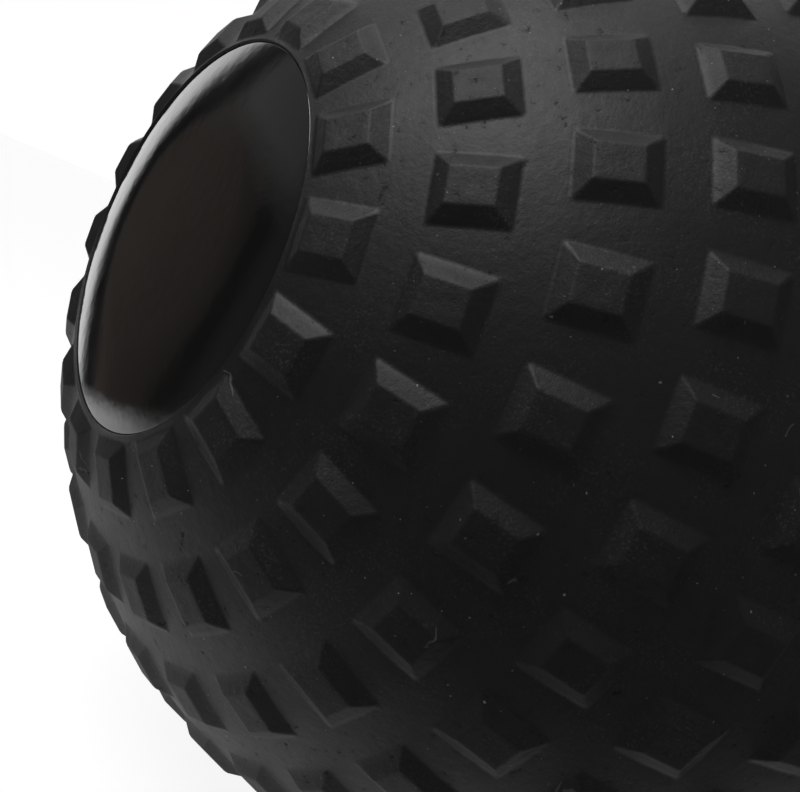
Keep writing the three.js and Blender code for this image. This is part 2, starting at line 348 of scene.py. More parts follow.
def apply_modifier(piece, kind, **settings):
    activate(piece)
    modifier = piece.modifiers.new(kind.title(), kind)
    for name, value in settings.items():
        setattr(modifier, name, value)
    bpy.ops.object.modifier_apply(modifier=modifier.name)


def soften_edges(piece, width):
    apply_modifier(
        piece, "BEVEL", width=width, segments=ROUND_STEPS, limit_method="ANGLE", angle_limit=ROUNDED_ANGLE)


def smooth(piece):
    """Smooth shading whose flat faces stay flat beside their rounded edges"""
    activate(piece)
    bpy.ops.object.shade_smooth_by_angle(angle=SHARP_ANGLE)
    apply_modifier(piece, "WEIGHTED_NORMAL", keep_sharp=True, weight=80)


def stand(piece, front):
    """Turns a piece that was modelled with its pole up, so that the pole points to the front or the rear"""
    activate(piece)
    piece.rotation_euler.x = math.radians(90 if front else -90)
    bpy.ops.object.transform_apply(rotation=True)


def finish_piece(piece, node_name, material):
    """Names a finished piece after the solid that it stands for"""
    piece.name = "dressed_" + node_name
    piece.data.name = piece.name
    piece.data.materials.clear()
    piece.data.materials.append(material)
    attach(piece, "root")
    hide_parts(node_name)


def add_node(tree, kind, inputs=None, **settings):
    """Adds a node with its settings. An input is set to a value, an output, or a node's first output."""
    node = tree.nodes.new(kind)
    for name, value in settings.items():
        setattr(node, name, value)
    for socket, value in (inputs or {}).items():
        if isinstance(value, bpy.types.Node):
            value = next(output for output in value.outputs if output.enabled)
        if isinstance(value, bpy.types.NodeSocket):
            tree.links.new(value, node.inputs[socket])
        else:
            node.inputs[socket].default_value = value
    return node


def fill_ramp(ramp, stops):
    """Sets a colour ramp to (position, colour) stops"""
    first, last = ramp.elements
    first.position, first.color = stops[0]
    last.position, last.color = stops[-1]
    for position, stop_colour in stops[1:-1]:
        ramp.elements.new(position).color = stop_colour


def new_material(name):
    """An empty material, its node tree, and the piece's own coordinates to lay patterns on"""
    material = bpy.data.materials.new(name)
    material.use_nodes = True
    tree = material.node_tree
    tree.nodes.clear()
    return material, tree, add_node(tree, "ShaderNodeTexCoord").outputs["Object"]


def matte_moulded_rubber(finish, sizes):
    """Filled black rubber from a sandblasted mould: no shine, a pitted grain, a pale bloom, dust, and lint.
    The blocks are scuffed, so they are rougher and hold more dust than the land between them."""
    grain_size = 2.2 * MM
    grain_height = 0.35 * MM
    pit_share = 0.15        # how much deeper a pit is, as a share of the grain's height
    bloom_size = 16 * MM
    dust_size = 0.5 * MM
    patch_size = 11 * MM
    speck_spacing = 1.5 * MM
    speck_radius = 0.22 * MM
    raggedness = 0.5 * MM
    speck_rarity = 5        # the higher, the fewer specks are bright
    scuffed_from = sizes.land_radius + 0.2 * MM
    scuffed_to = sizes.land_radius + 0.8 * MM
    material, tree, place = new_material("matte moulded rubber")
    distance = add_node(tree, "ShaderNodeVectorMath", {0: place}, operation="LENGTH")
    scuffs = add_node(tree, "ShaderNodeMapRange", {
        "Value": distance, "From Min": scuffed_from, "From Max": scuffed_to})
    # The rubber itself: grain with pits, and a bloom that makes it paler in places
    grain = add_node(tree, "ShaderNodeTexNoise", {
        "Vector": place, "Scale": 1 / grain_size, "Detail": 4, "Roughness": 0.7})
    pits = add_node(tree, "ShaderNodeMapRange", {"Value": grain, "From Min": 0.37, "From Max": 0.28})
    bloom = add_node(tree, "ShaderNodeTexNoise", {"Vector": place, "Scale": 1 / bloom_size, "Detail": 5})
    mottle = add_node(tree, "ShaderNodeMath", {0: grain, 1: bloom}, operation="ADD")
    share = add_node(tree, "ShaderNodeMapRange", {"Value": mottle, "From Min": 0.7, "From Max": 1.3})
    body = add_node(tree, "ShaderNodeMix", {
        "Factor": share, "A": finish.tread, "B": finish.tread_pale}, data_type="RGBA")
    # A film of fine dust that lies in patches, and leaves the pits bare. The pits are then coloured darker
    # than the bare rubber: painted shade at their bottoms
    film = add_node(tree, "ShaderNodeTexNoise", {"Vector": place, "Scale": 1 / dust_size, "Detail": 1})
    flecks = add_node(tree, "ShaderNodeMapRange", {"Value": film, "From Min": 0.54, "From Max": 0.7})
    patches = add_node(tree, "ShaderNodeTexNoise", {"Vector": place, "Scale": 1 / patch_size, "Detail": 4})
    thickest = add_node(tree, "ShaderNodeMapRange", {"Value": scuffs, "To Min": 0.1, "To Max": 0.12})
    thickness = add_node(tree, "ShaderNodeMapRange", {
        "Value": patches, "From Min": 0.4, "From Max": 0.7, "To Max": thickest})
    dusting = add_node(tree, "ShaderNodeMath", {0: flecks, 1: thickness}, operation="MULTIPLY")
    filmed = add_node(tree, "ShaderNodeMix", {
        "Factor": dusting, "A": body, "B": finish.dust}, data_type="RGBA")
    # Painted shade: the pits, which the bump below sinks, take the pit colour, darker than the rubber
    pitted = add_node(tree, "ShaderNodeMix", {
        "Factor": pits, "A": filmed, "B": finish.pit}, data_type="RGBA")
    # Single specks with ragged edges, and lint
    ragged = add_node(tree, "ShaderNodeVectorMath", {
        0: film.outputs["Color"], 1: (raggedness, raggedness, raggedness), 2: place},
        operation="MULTIPLY_ADD")
    cells = add_node(tree, "ShaderNodeTexVoronoi", {"Vector": ragged, "Scale": 1 / speck_spacing})
    chance = add_node(tree, "ShaderNodeSeparateColor", {"Color": cells.outputs["Color"]})
    reach = add_node(tree, "ShaderNodeMath", {
        0: chance.outputs["Red"], 1: speck_radius / speck_spacing}, operation="MULTIPLY")
    speck = add_node(tree, "ShaderNodeMath", {
        0: cells.outputs["Distance"], 1: reach}, operation="LESS_THAN")
    faint = add_node(tree, "ShaderNodeMath", {
        0: chance.outputs["Green"], 1: speck_rarity}, operation="POWER")
    specks = add_node(tree, "ShaderNodeMath", {0: speck, 1: faint}, operation="MULTIPLY")
    litter = add_node(tree, "ShaderNodeMath", {0: specks, 1: lint(tree, place)}, operation="MAXIMUM")
    dusty = add_node(tree, "ShaderNodeMix", {
        "Factor": litter, "A": pitted, "B": finish.dust}, data_type="RGBA")
    # Shine and relief
    wear = add_node(tree, "ShaderNodeMapRange", {"Value": scuffs, "To Min": 0.55, "To Max": 0.62})
    mottled = add_node(tree, "ShaderNodeMath", {0: share, 1: -0.06, 2: wear}, operation="MULTIPLY_ADD")
    roughness = add_node(tree, "ShaderNodeMapRange", {"Value": pits, "To Min": mottled, "To Max": 0.8})
    relief = add_node(tree, "ShaderNodeMath", {
        0: pits, 1: -pit_share, 2: grain}, operation="MULTIPLY_ADD")
    coarseness = add_node(tree, "ShaderNodeMapRange", {"Value": scuffs, "To Min": 0.37, "To Max": 0.52})
    bump = add_node(tree, "ShaderNodeBump", {
        "Height": relief, "Strength": coarseness, "Distance": grain_height})
    shader = add_node(tree, "ShaderNodeBsdfPrincipled", {
        "Base Color": dusty, "Roughness": roughness, "IOR": 1.5, "Normal": bump})
    add_node(tree, "ShaderNodeOutputMaterial", {"Surface": shader})
    return material


def lint(tree, place):
    """How thickly a few thin curled fibres cover the rubber"""
    curl_size = 3 * MM
    curl_depth = 5 * MM
    fibre_spacing = 12 * MM
    fibre_width = 0.15 * MM
    spread = 9 * MM
    clump_level = 0.79      # fibres lie only where the noise is above it
    cover = 0.3
    curls = add_node(tree, "ShaderNodeTexNoise", {"Vector": place, "Scale": 1 / curl_size, "Detail": 0})
    curled = add_node(tree, "ShaderNodeVectorMath", {
        0: curls.outputs["Color"], 1: (curl_depth, curl_depth, curl_depth), 2: place},
        operation="MULTIPLY_ADD")
    web = add_node(tree, "ShaderNodeTexVoronoi", {
        "Vector": curled, "Scale": 1 / fibre_spacing}, feature="DISTANCE_TO_EDGE")
    line = add_node(tree, "ShaderNodeMath", {
        0: web.outputs["Distance"], 1: fibre_width / fibre_spacing}, operation="LESS_THAN")
    clumps = add_node(tree, "ShaderNodeTexNoise", {"Vector": place, "Scale": 1 / spread, "Detail": 0})
    here = add_node(tree, "ShaderNodeMath", {0: clumps, 1: clump_level}, operation="GREATER_THAN")
    fibres = add_node(tree, "ShaderNodeMath", {0: line, 1: here}, operation="MULTIPLY")
    faint = add_node(tree, "ShaderNodeMath", {0: fibres, 1: cover}, operation="MULTIPLY")
    return faint


def gloss_moulded_rubber(finish):
    """Smooth rubber from a polished mould under clear varnish: nearly black, a strong shine, faint waves"""
    wave_size = 22 * MM
    pebble_size = 2.5 * MM
    mark_size = 9 * MM
    material, tree, place = new_material("gloss moulded rubber")
    waves = add_node(tree, "ShaderNodeTexNoise", {"Vector": place, "Scale": 1 / wave_size, "Detail": 1})
    marks = add_node(tree, "ShaderNodeTexNoise", {"Vector": place, "Scale": 1 / mark_size, "Detail": 6})
    roughness = add_node(tree, "ShaderNodeMapRange", {
        "Value": marks, "From Min": 0.3, "From Max": 0.7, "To Min": 0.07, "To Max": 0.15})
    pebbles = add_node(tree, "ShaderNodeTexNoise", {"Vector": place, "Scale": 1 / pebble_size, "Detail": 1})
    swell = add_node(tree, "ShaderNodeBump", {"Height": waves, "Strength": 0.3, "Distance": 0.3 * MM})
    bump = add_node(tree, "ShaderNodeBump", {
        "Height": pebbles, "Strength": 0.5, "Distance": 0.05 * MM, "Normal": swell})
    shader = add_node(tree, "ShaderNodeBsdfPrincipled", {
        "Base Color": finish.panel, "Roughness": roughness, "IOR": 1.5,
        "Coat Weight": 1.0, "Coat Roughness": 0.06, "Coat IOR": 1.5, "Coat Normal": bump,
        "Normal": bump})
    add_node(tree, "ShaderNodeOutputMaterial", {"Surface": shader})
    return material


def satin_moulded_rubber(finish):
    """Softer black rubber of the valve: a low sheen, a faint grain and a little dust"""
    grain_size = 0.4 * MM
    smear_size = 3 * MM
    material, tree, place = new_material("satin moulded rubber")
    grain = add_node(tree, "ShaderNodeTexNoise", {"Vector": place, "Scale": 1 / grain_size, "Detail": 2})
    smear = add_node(tree, "ShaderNodeTexNoise", {"Vector": place, "Scale": 1 / smear_size, "Detail": 4})
    dust = add_node(tree, "ShaderNodeMapRange", {
        "Value": smear, "From Min": 0.5, "From Max": 0.8, "To Max": 0.2})
    body = add_node(tree, "ShaderNodeMix", {
        "Factor": dust, "A": finish.valve, "B": finish.dust}, data_type="RGBA")
    roughness = add_node(tree, "ShaderNodeMapRange", {
        "Value": smear, "From Min": 0.3, "From Max": 0.7, "To Min": 0.4, "To Max": 0.55})
    bump = add_node(tree, "ShaderNodeBump", {"Height": grain, "Strength": 0.25, "Distance": 0.04 * MM})
    shader = add_node(tree, "ShaderNodeBsdfPrincipled", {
        "Base Color": body, "Roughness": roughness, "IOR": 1.5, "Normal": bump})
    add_node(tree, "ShaderNodeOutputMaterial", {"Surface": shader})
    return material


def natural_rubber(finish):
    """Brown dipped rubber of the liner: soft sheen, uneven thickness, talc that keeps it from sticking"""
    talc_size = 7 * MM
    dip_size = 25 * MM
    material, tree, place = new_material("natural rubber")
    talc = add_node(tree, "ShaderNodeTexNoise", {"Vector": place, "Scale": 1 / talc_size, "Detail": 6})
    dip = add_node(tree, "ShaderNodeTexNoise", {"Vector": place, "Scale": 1 / dip_size, "Detail": 2})
    share = add_node(tree, "ShaderNodeMapRange", {
        "Value": talc, "From Min": 0.5, "From Max": 0.75, "To Max": 0.35})
    body = add_node(tree, "ShaderNodeMix", {
        "Factor": share, "A": finish.liner, "B": finish.dust}, data_type="RGBA")
    bump = add_node(tree, "ShaderNodeBump", {"Height": dip, "Strength": 0.3, "Distance": 0.5 * MM})
    shader = add_node(tree, "ShaderNodeBsdfPrincipled", {
        "Base Color": body, "Roughness": 0.5, "IOR": 1.52, "Normal": bump})
    add_node(tree, "ShaderNodeOutputMaterial", {"Surface": shader})
    return material


def dry_sand(finish):
    """Washed dry sand: separate grains of quartz, most pale and some dark, with no shine as a heap"""
    grain_size = 0.6 * MM
    material, tree, place = new_material("dry sand")
    grains = add_node(tree, "ShaderNodeTexVoronoi", {"Vector": place, "Scale": 1 / grain_size})
    tint = add_node(tree, "ShaderNodeSeparateColor", {"Color": grains.outputs["Color"]})
    body = add_node(tree, "ShaderNodeMix", {
        "Factor": tint.outputs["Red"], "A": finish.sand, "B": finish.sand_dark}, data_type="RGBA")
    bump = add_node(tree, "ShaderNodeBump", {
        "Height": grains.outputs["Distance"], "Strength": 0.8, "Distance": 0.3 * MM}, invert=True)
    shader = add_node(tree, "ShaderNodeBsdfPrincipled", {
        "Base Color": body, "Roughness": 0.85, "IOR": 1.54, "Normal": bump})
    add_node(tree, "ShaderNodeOutputMaterial", {"Surface": shader})
    return material


def resize(along, across):
    """In edit mode, scales what is selected about the pole's axis"""
    bpy.ops.transform.resize(value=(along, across, 1), center_override=(0, 0, 0))


def extrude(rise):
    """In edit mode, extrudes what is selected along the pole's axis"""
    bpy.ops.mesh.extrude_region_move(TRANSFORM_OT_translate={"value": (0, 0, rise)})


def raise_block(sizes):
    """Shapes a square of side 1 on the land into a block: sloping walls, round corners and a sunken top"""
    land = sizes.land_radius
    top_length = sizes.block_length - 2 * sizes.block_bevel
    top_width = sizes.block_width - 2 * sizes.block_bevel
    corner_reach = math.hypot(top_length, top_width) / 2
    top_height = height_on_sphere(land + sizes.block_height, corner_reach)
    bpy.ops.mesh.select_all(action="SELECT")
    resize(sizes.block_length, sizes.block_width)
    bpy.ops.mesh.bevel(affect="VERTICES", offset=sizes.block_corner, segments=CORNER_STEPS)
    pick("EDGE", lambda edge: edge.calc_length() > sizes.block_width / 2)
    bpy.ops.mesh.subdivide(number_cuts=SIDE_STEPS - 1)
    bpy.ops.mesh.select_all(action="SELECT")
    extrude(top_height - land)
    resize(top_length / sizes.block_length, top_width / sizes.block_width)
    pick("FACE", lambda face: all(v.co.z < land + WELD for v in face.verts))
    bpy.ops.mesh.delete(type="ONLY_FACE")
    pick("EDGE", lambda edge: all(v.co.z > top_height - WELD for v in edge.verts))
    bpy.ops.mesh.bevel(offset=sizes.block_edge, segments=BLOCK_ROUND_STEPS)
    pick("FACE", lambda face: all(v.co.z > top_height - WELD for v in face.verts))
    for step in range(SINK_STEPS, 1, -1):
        smaller = (step - 1) / step
        extrude(-sizes.block_sink * (2 * step - 1) / SINK_STEPS ** 2)
        resize(smaller, smaller)


def lay_land(sizes, middle, count):
    """Lays land from a block's foot to the border of its tile, which is narrower towards the pole"""
    land = sizes.land_radius
    border_height = land - sizes.block_height
    reach = border_height * math.tan((sizes.block_length / 2 + sizes.side_margin) / land)
    lean = reach * math.cos(middle)
    near_width = (border_height * math.sin(middle) - lean) * math.tan(math.pi / count)
    far_width = (border_height * math.sin(middle) + lean) * math.tan(math.pi / count)
    pick("EDGE", lambda edge: edge.is_boundary)
    bpy.ops.mesh.extrude_edges_move()
    resize(
        1 + 2 * sizes.fillet_room / sizes.block_length,
        1 + 2 * sizes.fillet_room / sizes.block_width)
    bpy.ops.mesh.select_all(action="DESELECT")
    # The border starts as a square from -1 to 1, which is far larger than the block
    bpy.ops.mesh.primitive_plane_add(size=2, location=(0, 0, border_height), calc_uvs=False)
    bpy.ops.mesh.delete(type="ONLY_FACE")
    pick("VERT", lambda vert: vert.co.x < -0.5)
    resize(reach, near_width)
    pick("VERT", lambda vert: vert.co.x > 0.5)
    resize(reach, far_width)
    pick("EDGE", lambda edge: edge.is_wire)
    bpy.ops.mesh.subdivide(number_cuts=CORNER_STEPS + SIDE_STEPS - 1)
    pick("EDGE", lambda edge: edge.is_wire or edge.is_boundary)
    bpy.ops.mesh.bridge_edge_loops(number_cuts=LAND_CUTS, interpolation="LINEAR")


def tread_tile(sizes, middle, count):
    """One block with the land round it, as wide as its share of the ring, at the top of the ball"""
    land = sizes.land_radius
    tile = new_plane("tile", 1, land)
    with editing(tile):
        raise_block(sizes)
        lay_land(sizes, middle, count)
    half_foot = (sizes.block_length / 2 + WELD, sizes.block_width / 2 + WELD)
    on_land = [v for v in tile.data.vertices if v.co.z < land + WELD]
    foot = {v.index for v in on_land if abs(v.co.x) < half_foot[0] and abs(v.co.y) < half_foot[1]}
    tile.vertex_groups.new(name="land").add([v.index for v in on_land], 1, "REPLACE")
    apply_modifier(tile, "CAST", factor=1, size=land, use_radius_as_size=False, vertex_group="land")
    with editing(tile):
        pick("EDGE", lambda edge: all(v.index in foot for v in edge.verts))
        bpy.ops.mesh.bevel(offset=sizes.block_fillet, segments=BLOCK_ROUND_STEPS)
    return tile


def tread_ring(sizes, places, ring):
    """A closed ring of blocks"""
    count, turn = TREAD_RINGS[ring]
    middle = ring_middle(places, ring)
    tiles = tread_tile(sizes, middle, count)
    tiles.rotation_euler = (0, middle, math.radians(turn))
    bpy.ops.object.transform_apply(rotation=True)
    with editing(tiles):
        bpy.ops.mesh.select_all(action="SELECT")
        share = (count - 1) / count
        bpy.ops.mesh.spin(
            steps=count - 1, dupli=True, angle=math.tau * share, center=(0, 0, 0), axis=(0, 0, 1))
        weld()
    return tiles


def ring_middle(places, ring):
    """Angle from the pole to the middle of a ring"""
    return math.pi / 2 - (len(TREAD_RINGS) - ring - 0.5) * places.ring_angle


def half_shell(sizes, places):
    """Half of the outer shell, pole up: tread outside, plain sphere inside, stepped seat for the panel"""
    land = sizes.land_radius
    chamfer_top = places.parting_height + sizes.parting_chamfer
    lip_angle = math.asin(places.fill_opening / places.shell_inner)
    parting_angle = math.acos(places.parting_height / places.shell_inner)
    inner_wall = [
        (height_on_sphere(land, chamfer_top), chamfer_top),
        (land - sizes.parting_chamfer, places.parting_height),
        *sphere_arc(places.shell_inner, parting_angle, lip_angle, SHELL_STEPS),
        (places.fill_opening, places.seat_ledge),
        (places.seat_radius, places.seat_ledge),
        (places.seat_radius, places.seat_edge - sizes.seat_chamfer),
        (places.seat_mouth, places.seat_edge),
    ]
    shell = turned("shell", inner_wall)
    rings = [tread_ring(sizes, places, ring) for ring in range(len(TREAD_RINGS))]
    activate(shell)
    for ring in rings:
        ring.select_set(True)
    bpy.ops.object.join()
    seams = [ring_middle(places, ring) - places.ring_angle / 2 for ring in range(len(TREAD_RINGS) + 1)]
    with editing(shell):
        for seam in seams:
            pick("EDGE", lambda edge: edge.is_boundary and near_seam(edge, seam, places.ring_angle / 2))
            bpy.ops.mesh.bridge_edge_loops(number_cuts=STRIP_CUTS, interpolation="LINEAR")
        weld()
    smooth(shell)
    return shell


def near_seam(edge, seam, reach):
    middle = (edge.verts[0].co + edge.verts[1].co) / 2
    return abs(middle.angle(Vector((0, 0, 1))) - seam) < reach


class SLAM_BALL_OT_shells(bpy.types.Operator):
    """Model the treaded half shell once and stand a copy at the front and at the rear"""
    bl_idname = "slam_ball.shells"
    bl_label = "Treaded shells"

    def execute(self, context):
        sizes = context.scene.slam_ball_sizes
        material = matte_moulded_rubber(context.scene.slam_ball_finish, sizes)
        rear = half_shell(sizes, layout(sizes))
        activate(rear)
        bpy.ops.object.duplicate()
        front = context.object
        for shell, node_name, is_front in ((front, "front_shell", True), (rear, "rear_shell", False)):
            stand(shell, is_front)
            finish_piece(shell, node_name, material)
        return {"FINISHED"}


def panel_outline(places, bore):
    """A panel's profile, from its underside at the bore, over flange and shoulder to the flat face"""
    drop = places.panel_face - places.panel_edge
    run = places.panel_rim - places.panel_flat
    sweep = 2 * math.atan(drop / run)
    bend = run / math.sin(sweep)
    shoulder = []
    for step in range(SHOULDER_STEPS + 1):
        angle = sweep * (1 - step / SHOULDER_STEPS)
        height = places.panel_face - bend * (1 - math.cos(angle))
        shoulder.append((places.panel_flat + bend * math.sin(angle), height))
    bore_angle = math.asin(bore / places.shell_inner)
    spigot_angle = math.asin(places.spigot_radius / places.shell_inner)
    return [
        *sphere_arc(places.shell_inner, bore_angle, spigot_angle, SHOULDER_STEPS),
        (places.spigot_radius, places.panel_underside),
        (places.panel_rim, places.panel_underside),
        *shoulder,
    ]


class SLAM_BALL_OT_panels(bpy.types.Operator):
    """Model the glossy panels in the poles, the rear one with a stepped hole for the valve"""
    bl_idname = "slam_ball.panels"
    bl_label = "Glossy panels"

    def execute(self, context):
        sizes = context.scene.slam_ball_sizes
        places = layout(sizes)
        material = gloss_moulded_rubber(context.scene.slam_ball_finish)
        flange_hole = sizes.valve_flange_radius + sizes.clearance
        flange_seat = places.flange_floor - sizes.clearance
        plain = panel_outline(places, 0) + [(0, places.panel_face)]
        holed = panel_outline(places, places.stem_hole)
        hole = [
            (flange_hole, places.panel_face), (flange_hole, flange_seat), (places.stem_hole, flange_seat)]
        front = turned("panel", plain)
        rear = turned("panel", holed + hole + holed[:1])
        for panel, node_name, is_front in ((front, "front_panel", True), (rear, "rear_panel", False)):
            soften_edges(panel, sizes.soft_edge)
            smooth(panel)
            stand(panel, is_front)
            finish_piece(panel, node_name, material)
        return {"FINISHED"}


class SLAM_BALL_OT_valve(bpy.types.Operator):
    """Model the valve in the rear panel and the plug that closes it"""
    bl_idname = "slam_ball.valve"
    bl_label = "Valve"

    def execute(self, context):
        sizes = context.scene.slam_ball_sizes
        places = layout(sizes)
        material = satin_moulded_rubber(context.scene.slam_ball_finish)
        head_hole = sizes.plug_head_radius + sizes.clearance
        body = turned("valve", [
            (sizes.valve_bore_radius, places.valve_end),
            (sizes.valve_stem_radius, places.valve_end),
            (sizes.valve_stem_radius, places.flange_floor),
            (sizes.valve_flange_radius, places.flange_floor),
            (sizes.valve_flange_radius, places.panel_face),
            (head_hole, places.panel_face),
            (head_hole, places.plug_seat),
            (sizes.valve_bore_radius, places.plug_seat),
            (sizes.valve_bore_radius, places.valve_end),
        ], SMALL_TURN_STEPS)
        head_floor = places.plug_seat + sizes.clearance
        pin_radius = sizes.valve_bore_radius - sizes.clearance
        pin_end = head_floor - sizes.plug_pin_length
        plug = turned("plug", [
            (0, pin_end),
            (pin_radius, pin_end),
            (pin_radius, head_floor),
            (sizes.plug_head_radius, head_floor),
            (sizes.plug_head_radius, places.panel_face),
            (0, places.panel_face),
        ], SMALL_TURN_STEPS)
        for piece, node_name in ((body, "valve_body"), (plug, "valve_plug")):
            soften_edges(piece, sizes.soft_edge)
            smooth(piece)
            stand(piece, False)
            finish_piece(piece, node_name, material)
        return {"FINISHED"}


def settled_sand(sizes, places):
    """The sand as it lies: round below, a pocket at the valve, and a level top with shallow ripples"""
    pocket = sizes.valve_stem_radius + sizes.sand_pocket
    pocket_floor = places.valve_end - sizes.sand_pocket
    pocket_angle = math.asin(pocket / places.sand_radius)
    sand = turned("sand", [
        *sphere_arc(places.sand_radius, math.pi, pocket_angle, SPHERE_STEPS),
        (pocket, pocket_floor),
        (0, pocket_floor),
    ])
    stand(sand, False)
    level = sizes.sand_level
    rim = height_on_sphere(places.sand_radius, level)
    with editing(sand):
        bpy.ops.mesh.select_all(action="SELECT")
        bpy.ops.mesh.bisect(plane_co=(0, 0, level), plane_no=(0, 0, 1), use_fill=True, clear_outer=True)
        pick("FACE", lambda face: all(v.co.z > level - WELD for v in face.verts))
        for ring in range(RIPPLE_RINGS):
            bpy.ops.mesh.inset(thickness=rim / (RIPPLE_RINGS + 1))
        bpy.ops.mesh.poke()
    open_top = [v.index for v in sand.data.vertices
                if v.co.z > level - WELD and math.hypot(v.co.x, v.co.y) < rim - sizes.sand_ripple]
    sand.vertex_groups.new(name="top").add(open_top, 1, "REPLACE")
    ripples = bpy.data.textures.new("sand ripples", "CLOUDS")
    ripples.noise_scale = sizes.ripple_spacing
    apply_modifier(
        sand, "DISPLACE", texture=ripples, vertex_group="top", direction="Z", mid_level=1,
        strength=sizes.sand_ripple)
    smooth(sand)
    return sand


class SLAM_BALL_OT_filling(bpy.types.Operator):
    """Model the liner and the sand that it holds"""
    bl_idname = "slam_ball.filling"
    bl_label = "Liner and sand"

    def execute(self, context):
        sizes = context.scene.slam_ball_sizes
        finish = context.scene.slam_ball_finish
        places = layout(sizes)
        outer_mouth = math.asin(places.stem_hole / places.bladder_outer)
        inner_mouth = math.asin(places.stem_hole / places.bladder_inner)
        liner = turned("liner", [
            *sphere_arc(places.bladder_outer, math.pi, outer_mouth, SPHERE_STEPS),
            *sphere_arc(places.bladder_inner, inner_mouth, math.pi, SPHERE_STEPS),
        ])
        smooth(liner)
        stand(liner, False)
        finish_piece(liner, "inner_bladder", natural_rubber(finish))
        finish_piece(settled_sand(sizes, places), "sand_fill", dry_sand(finish))
        return {"FINISHED"}


def look_at_ball(thing, place):
    """Puts a camera or a lamp at a place, turned towards the ball's centre"""
    thing.location = place
    thing.rotation_mode = "QUATERNION"
    thing.rotation_quaternion = (-place).to_track_quat("-Z", "Y")


def photo_camera(studio):
    """Camera that looks at the ball's centre, rolled, and panned so that the centre falls on its pixel"""
    data = bpy.data.cameras.new("camera")
    data.sensor_width = SENSOR_WIDTH_MM
    data.lens = FOCAL_LENGTH_PIXELS / IMAGE_WIDTH * SENSOR_WIDTH_MM
    data.shift_x = (IMAGE_WIDTH / 2 - LENS_AXIS_PIXEL[0]) / IMAGE_WIDTH
    data.shift_y = (LENS_AXIS_PIXEL[1] - IMAGE_HEIGHT / 2) / IMAGE_WIDTH
    data.clip_start = studio.camera_near
    camera = bpy.data.objects.new("camera", data)
    bpy.context.scene.collection.objects.link(camera)
    azimuth = studio.camera_azimuth
    height = math.tan(studio.camera_elevation)
    side = Vector((math.sin(azimuth), -math.cos(azimuth), height)).normalized()
    look_at_ball(camera, side * studio.camera_distance)
    across = (BALL_CENTRE_PIXEL[0] - LENS_AXIS_PIXEL[0]) / FOCAL_LENGTH_PIXELS
    down = (BALL_CENTRE_PIXEL[1] - LENS_AXIS_PIXEL[1]) / FOCAL_LENGTH_PIXELS
    pan = Vector((across, -down, -1)).rotation_difference(Vector((0, 0, -1)))
    roll = Quaternion((0, 0, 1), studio.camera_roll)
    camera.rotation_quaternion = camera.rotation_quaternion @ roll @ pan
    bpy.context.scene.camera = camera
    return camera


def key_light(studio, camera):
    """Square softbox over the ball, tilted towards the camera and to its left"""
    data = bpy.data.lights.new("key", "AREA")
    data.shape = "SQUARE"
    data.size = studio.key_size
    data.energy = studio.key_power
    lamp = bpy.data.objects.new("key", data)
    bpy.context.scene.collection.objects.link(lamp)
    tilt = Vector((-math.tan(studio.key_left), 1, math.tan(studio.key_forward))).normalized()
    look_at_ball(lamp, camera.rotation_quaternion @ tilt * studio.key_distance)


def pale_floor(studio):
    """Matt floor that glows for the camera, so that it reads as white paper with a soft shadow.
    Mirrors see a white sheet on it, and look past its edge into the room."""
    soft_edge = 30 * MM
    glow = 0.9
    material, tree, place = new_material("pale studio floor")
    under_ball = Vector((0, 0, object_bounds()[0].z))
    bearing = Vector((math.cos(studio.sheet_bearing), math.sin(studio.sheet_bearing), 0))
    sheet_middle = under_ball + bearing * studio.sheet_offset
    sheet = round_patch(tree, place, sheet_middle, studio.sheet_radius, soft_edge)
    nearby = round_patch(tree, place, under_ball, studio.floor_reach, soft_edge)
    seen = add_node(tree, "ShaderNodeLightPath")
    sheet_seen = add_node(tree, "ShaderNodeMath", {
        0: seen.outputs["Is Glossy Ray"], 1: sheet}, operation="MULTIPLY")
    sheet_glow = add_node(tree, "ShaderNodeMath", {
        0: sheet_seen, 1: studio.sheet_glow}, operation="MULTIPLY")
    white = add_node(tree, "ShaderNodeMath", {
        0: seen.outputs["Is Camera Ray"], 1: glow, 2: sheet_glow}, operation="MULTIPLY_ADD")
    paper = add_node(tree, "ShaderNodeBsdfPrincipled", {
        "Base Color": studio.floor, "Roughness": 0.9, "Emission Color": (1, 1, 1, 1),
        "Emission Strength": white})
    open_room = add_node(tree, "ShaderNodeBsdfTransparent")
    far = add_node(tree, "ShaderNodeMath", {0: 1, 1: nearby}, operation="SUBTRACT")
    past_edge = add_node(tree, "ShaderNodeMath", {
        0: seen.outputs["Is Glossy Ray"], 1: far}, operation="MULTIPLY")
    shader = add_node(tree, "ShaderNodeMixShader", {"Fac": past_edge, 1: paper, 2: open_room})
    add_node(tree, "ShaderNodeOutputMaterial", {"Surface": shader})
    return material


def round_patch(tree, place, middle, radius, soft_edge):
    """1 inside a circle and 0 outside it, with a soft edge"""
    distance = add_node(tree, "ShaderNodeVectorMath", {0: place, 1: middle}, operation="DISTANCE")
    inside = add_node(tree, "ShaderNodeMapRange", {
        "Value": distance, "From Min": radius + soft_edge, "From Max": radius - soft_edge},
        interpolation_type="SMOOTHSTEP")
    return inside


